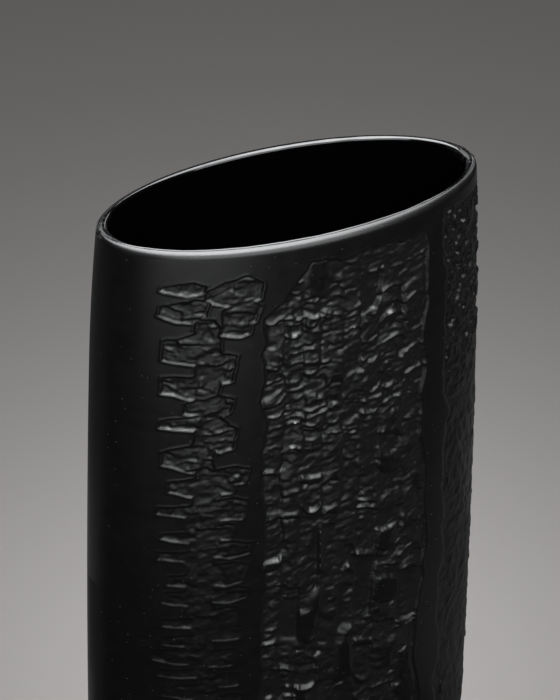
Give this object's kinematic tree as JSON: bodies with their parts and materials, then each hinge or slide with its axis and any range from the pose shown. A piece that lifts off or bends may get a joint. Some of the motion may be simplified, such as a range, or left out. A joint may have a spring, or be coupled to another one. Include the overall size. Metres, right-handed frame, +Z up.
{
  "type": "oval vase",
  "caption": "Tall oval vase in black clay with pressed bark texture outside and a gloss black glaze inside; holds stems or stands as an ornament.",
  "frame": {"origin": "centre of the foot, on the level the vase stands on", "axes": "+Z up through the mouth, +X along the long axis of the mouth, -Y towards the front shown in the picture"},
  "size_m": [0.1236, 0.0488, 0.26],
  "materials": {
    "black_clay": "satin, unglazed",
    "seam_clay": "rough, unglazed",
    "gloss_glaze": "gloss"
  },
  "bodies": {
    "root": {"front_wall": "black_clay", "back_wall": "black_clay", "left_seam_coil": "seam_clay", "right_seam_coil": "seam_clay", "floor_slab": "black_clay", "floor_seam_coil": "seam_clay", "glaze_lining": "gloss_glaze"}
  },
  "joints": []
}
